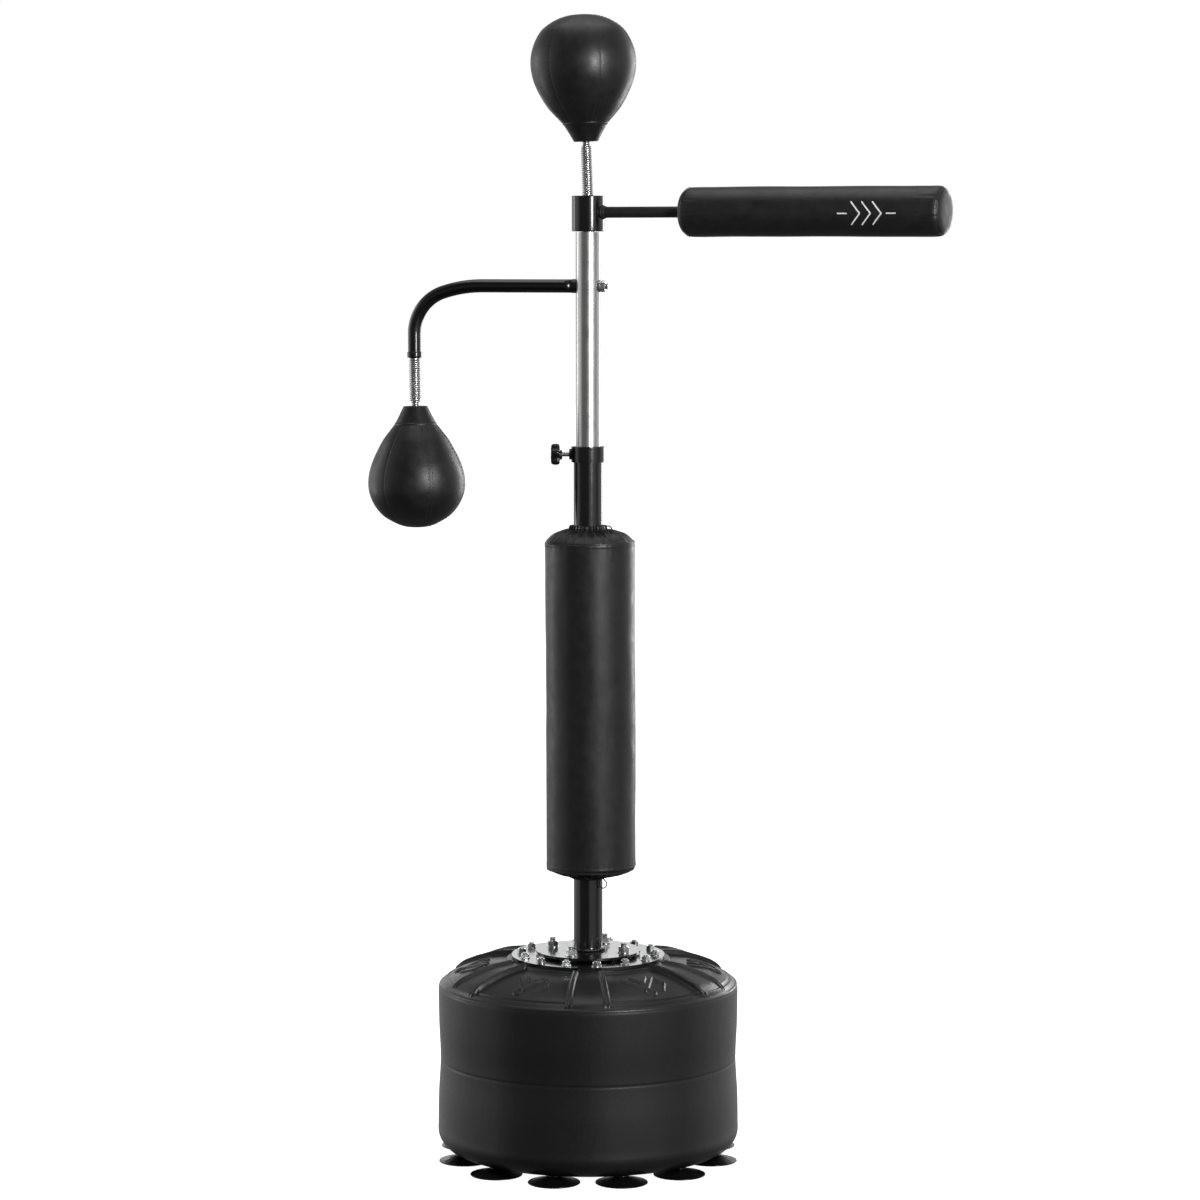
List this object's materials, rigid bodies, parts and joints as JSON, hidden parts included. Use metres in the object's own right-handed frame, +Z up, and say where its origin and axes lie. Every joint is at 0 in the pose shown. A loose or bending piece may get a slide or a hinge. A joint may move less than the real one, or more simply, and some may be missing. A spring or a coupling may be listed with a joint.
{
  "type": "freestanding speed ball boxing stand",
  "caption": "Freestanding boxing stand: round fillable base on suction cups, padded column, speed ball on a spring, hooked side ball and a spinning padded bar.",
  "frame": {"origin": "on the column's axis, in the plane of the suction cup rims (the floor)", "axes": "+Z up along the column; -Y towards the front; -X towards the clamp knob"},
  "size_m": [0.9409, 0.5434, 1.8839],
  "materials": {
    "tank": "satin blow-moulded polyethylene with a fine grain",
    "rubber": "black rubber",
    "gloss_paint": "gloss black powder coat",
    "zinc": "bright zinc plate",
    "chrome": "bright chrome plate",
    "steel": "plain ground steel",
    "leather": "black grained synthetic leather",
    "foam": "grey closed-cell foam",
    "bladder": "latex bladder",
    "plastic": "black moulded plastic",
    "nylon": "natural nylon",
    "cord": "black braided drawstring"
  },
  "bodies": {
    "base": {"water_tank": "tank", "suction_cups": "rubber", "cup_screws": "zinc", "base_plate": "gloss_paint", "plate_gasket": "rubber", "plate_studs": "zinc", "plate_washers": "zinc", "plate_nuts": "zinc", "damping_washers": "rubber", "column_flange": "gloss_paint", "flange_studs": "zinc", "flange_washers": "zinc", "flange_nuts": "zinc", "column_tube": "gloss_paint", "clamp_collar": "gloss_paint", "clamp_nut": "zinc", "column_bush": "nylon", "bag_foam": "foam", "bag_cover": "leather", "bag_top_string": "cord", "bag_top_string_tail": "cord", "bag_bottom_string": "cord", "bag_bottom_string_loop": "cord"},
    "filler_seal": {"filler_gasket": "rubber"},
    "filler_cap": {"filler_cap": "plastic"},
    "clamp_pad": {"clamp_pad": "nylon"},
    "clamp_knob": {"clamp_screw": "zinc", "clamp_knob": "plastic"},
    "mast_foot": {"mast_foot_bush": "nylon"},
    "mast": {"mast_tube": "chrome", "mast_spindle": "steel", "bearing_spacers": "steel", "retaining_ring": "zinc", "bearing_inner_rings": "steel", "side_arm_tube": "gloss_paint", "side_arm_saddle": "plastic", "side_arm_bolt": "zinc", "side_arm_washer": "zinc", "side_arm_nut": "zinc", "side_arm_cap": "gloss_paint"},
    "spinner": {"hub_shell": "gloss_paint", "bearing_outer_rings": "steel", "bar_rod": "gloss_paint", "rod_end_plug": "plastic", "bar_foam": "foam", "bar_cover": "leather"},
    "bearing_cages": {"bearing_cages": "nylon", "bearing_balls": "steel"},
    "top_spring": {"top_spring": "chrome"},
    "top_ball": {"top_ball_cover": "leather", "top_ball_bladder": "bladder", "top_ball_boot": "rubber", "top_ball_bolt": "zinc"},
    "side_spring": {"side_spring": "chrome"},
    "side_ball": {"side_ball_cover": "leather", "side_ball_bladder": "bladder", "side_ball_boot": "rubber", "side_ball_bolt": "zinc"}
  },
  "joints": [
    {"name": "mast_height", "type": "slide", "parent": "base", "child": "mast_foot", "axis": [0, 0, 1], "range_m": [-0.24, 0.155]},
    {"name": "mast_swivel", "type": "hinge", "parent": "mast_foot", "child": "mast", "pos_m": [0, 0, 0.93], "axis": [0, 0, 1], "continuous": true},
    {"name": "bar_spin", "type": "hinge", "parent": "mast", "child": "spinner", "pos_m": [0, 0, 1.563], "axis": [0, 0, 1], "continuous": true},
    {"name": "cage_turn", "type": "hinge", "parent": "mast", "child": "bearing_cages", "pos_m": [0, 0, 1.563], "axis": [0, 0, 1], "continuous": true},
    {"name": "top_spring_tilt", "type": "hinge", "parent": "mast", "child": "top_spring", "pos_m": [0, 0, 1.612], "axis": [1, 0, 0], "range_deg": [-30, 30], "stiffness_Nm_per_rad": 30, "deforming": ["top_spring"]},
    {"name": "top_ball_tilt", "type": "hinge", "parent": "top_spring", "child": "top_ball", "pos_m": [-0.0023, 0, 1.656], "axis": [0, 1, 0], "range_deg": [-30, 30], "stiffness_Nm_per_rad": 30, "deforming": ["top_spring"]},
    {"name": "side_spring_tilt", "type": "hinge", "parent": "mast", "child": "side_spring", "pos_m": [-0.28785, 0.07713, 1.304], "axis": [1, 0, 0], "range_deg": [-30, 30], "stiffness_Nm_per_rad": 15, "deforming": ["side_spring"]},
    {"name": "side_ball_tilt", "type": "hinge", "parent": "side_spring", "child": "side_ball", "pos_m": [-0.28715, 0.07713, 1.264], "axis": [0, 1, 0], "range_deg": [-30, 30], "stiffness_Nm_per_rad": 15, "deforming": ["side_spring"]},
    {"name": "clamp_knob_turn", "type": "hinge", "parent": "clamp_pad", "child": "clamp_knob", "pos_m": [-0.05, 0, 1.168], "axis": [-1, 0, 0], "range_deg": [0, 1080.1]},
    {"name": "clamp_pad_travel", "type": "slide", "parent": "base", "child": "clamp_pad", "axis": [-1, 0, 0], "range_m": [0, 0.00375]},
    {"name": "cap_turn", "type": "hinge", "parent": "filler_seal", "child": "filler_cap", "pos_m": [0, 0.188, 0.34], "axis": [0, 0, 1], "range_deg": [0, 1440.1]},
    {"name": "cap_lift", "type": "slide", "parent": "base", "child": "filler_seal", "axis": [0, 0, 1], "range_m": [0, 0.012]}
  ],
  "couplings": [
    {"joint": "cage_turn", "follows": "bar_spin", "ratio": 0.59615},
    {"joint": "clamp_knob_turn", "follows": "clamp_pad_travel", "rad_per_m": 5026.5},
    {"joint": "cap_turn", "follows": "cap_lift", "rad_per_m": 2094.4}
  ]
}
